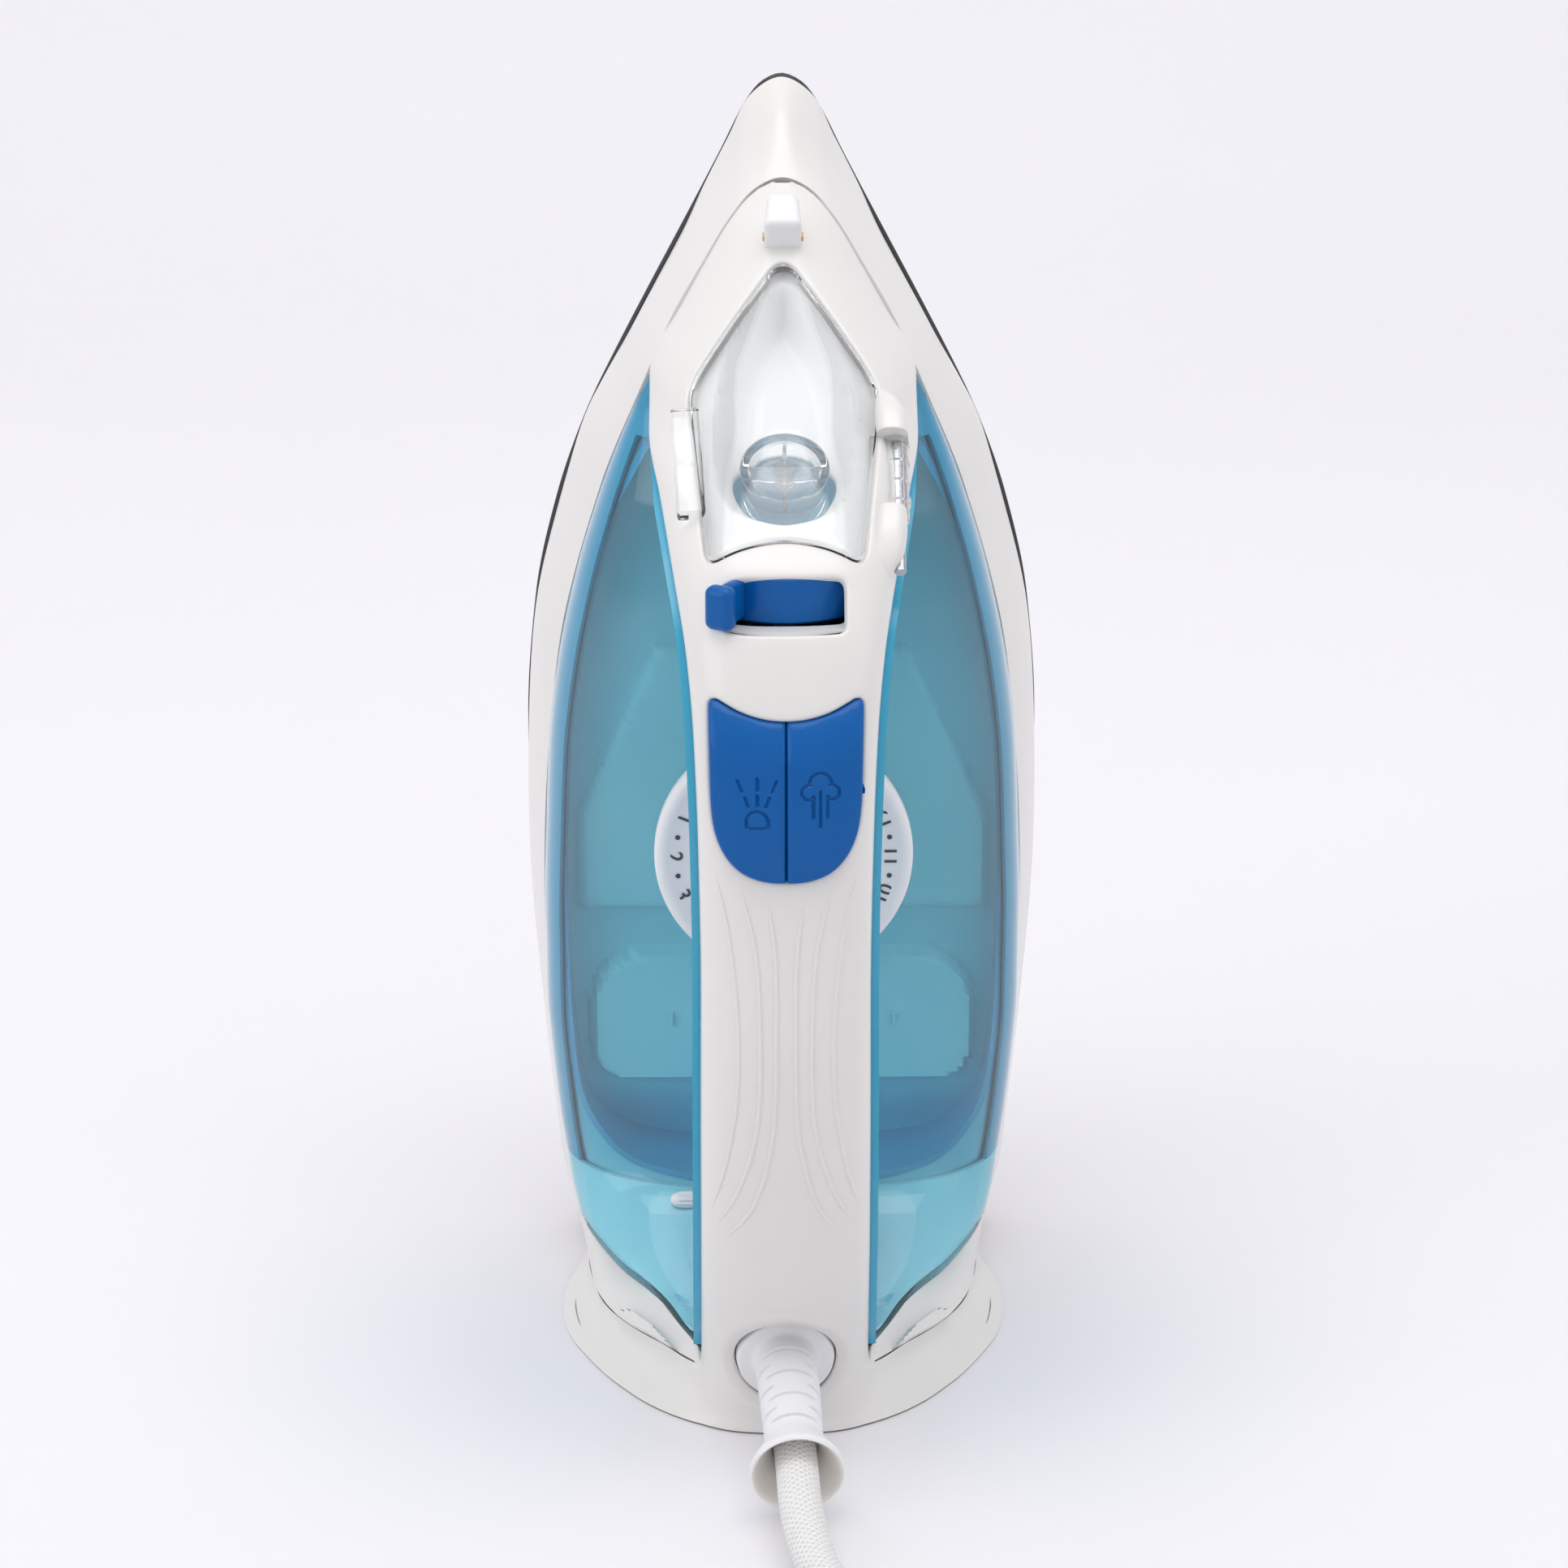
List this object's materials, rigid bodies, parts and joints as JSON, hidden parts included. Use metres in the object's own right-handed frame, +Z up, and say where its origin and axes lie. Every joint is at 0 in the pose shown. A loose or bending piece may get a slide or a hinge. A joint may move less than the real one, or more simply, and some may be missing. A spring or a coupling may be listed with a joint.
{
  "type": "steam iron",
  "caption": "Household steam iron standing on its heel: steel sole, see-through water tank, looped handle with dial, filler lid, push buttons, and a wound cord with plug.",
  "frame": {"origin": "middle of the iron's footprint, on the floor plane that its heel stands on", "axes": "+Z up, from the heel to the sole's tip; +Y out of the sole's face; +X across the iron"},
  "size_m": [0.1232, 0.3674, 0.2904],
  "materials": {
    "shell_white": "satin moulded",
    "trim_white": "satin moulded",
    "tank_blue": "glossy translucent",
    "button_blue": "glossy",
    "clear_plastic": "glossy clear plastic",
    "heel_grey": "fine texture",
    "sole_steel": "brushed along its length",
    "cast_aluminium": "cast",
    "steel": "plain",
    "brass": "turned",
    "ceramic": "unglazed",
    "rubber": "soft",
    "braid": "woven sleeve",
    "plug_white": "satin moulded",
    "wire_brown": "soft",
    "wire_blue": "soft",
    "wire_green": "soft"
  },
  "bodies": {
    "housing": {"soleplate": "sole_steel", "sole_base": "cast_aluminium", "heating_element": "steel", "chamber_cover": "steel", "thermostat": "ceramic", "thermal_fuse": "ceramic", "heat_shield": "steel", "sole_screw_left": "steel", "sole_screw_right": "steel", "sole_screw_front": "steel", "skirt": "shell_white", "tank_shell": "tank_blue", "tank_base": "tank_blue", "valve_seat": "brass", "tank_plug": "trim_white", "handle_top": "shell_white", "handle_lower": "tank_blue", "heel_cover": "heel_grey", "heel_screw_left": "steel", "heel_screw_right": "steel", "filler_bowl": "trim_white", "lid_hinge_pin": "steel", "nozzle_housing": "trim_white", "nozzle_tip": "brass", "selector_axle": "steel", "spray_cylinder": "trim_white", "steam_cylinder": "trim_white", "pump_bracket": "trim_white", "spray_hose": "rubber", "steam_hose": "rubber", "terminal_block": "ceramic", "cord_clamp": "trim_white", "wire_live": "wire_brown", "wire_earth": "wire_green", "wire_neutral": "wire_blue", "cord_socket": "shell_white", "spray_spring": "steel", "steam_spring": "steel", "cord": "braid", "cord_coil": "braid", "cord_tail": "braid", "plug_body": "plug_white", "plug_pin_left": "steel", "plug_pin_right": "steel"},
    "lid": {"filler_lid": "clear_plastic"},
    "selector": {"steam_selector": "button_blue"},
    "valve": {"valve_stem": "trim_white"},
    "spray": {"spray_button": "button_blue", "spray_piston": "trim_white"},
    "steam": {"steam_button": "button_blue", "steam_piston": "trim_white"},
    "dial": {"temperature_dial": "trim_white", "thermostat_shaft": "steel"},
    "guard": {"cord_guard": "trim_white"}
  },
  "joints": [
    {"name": "lid_hinge", "type": "hinge", "parent": "housing", "child": "lid", "pos_m": [0.0245, -0.00993, 0.23005], "axis": [0, 0.8173, 0.5762], "range_deg": [0, 100]},
    {"name": "steam_selector_turn", "type": "hinge", "parent": "housing", "child": "selector", "pos_m": [0, -0.03503, 0.203], "axis": [0, 0, 1], "range_deg": [0, 60]},
    {"name": "valve_lift", "type": "slide", "parent": "housing", "child": "valve", "axis": [0, -1, 0], "range_m": [0, 0.0025]},
    {"name": "spray_press", "type": "slide", "parent": "housing", "child": "spray", "axis": [0, 1, 0], "range_m": [0, 0.006], "stiffness_N_per_m": 300, "springref_m": -0.006, "deforming": ["spray_spring"]},
    {"name": "steam_press", "type": "slide", "parent": "housing", "child": "steam", "axis": [0, 1, 0], "range_m": [0, 0.006], "stiffness_N_per_m": 300, "springref_m": -0.006, "deforming": ["steam_spring"]},
    {"name": "dial_turn", "type": "hinge", "parent": "housing", "child": "dial", "pos_m": [0, 0.0038, 0.124], "axis": [0, -1, 0], "range_deg": [0, 280]},
    {"name": "cord_swivel", "type": "hinge", "parent": "housing", "child": "guard", "pos_m": [0, -0.04313, 0.0209], "axis": [0, 0, 1], "range_deg": [-30, 30], "deforming": ["cord"]}
  ],
  "couplings": [
    {"joint": "valve_lift", "follows": "steam_selector_turn", "m_per_rad": 0.0022918}
  ]
}
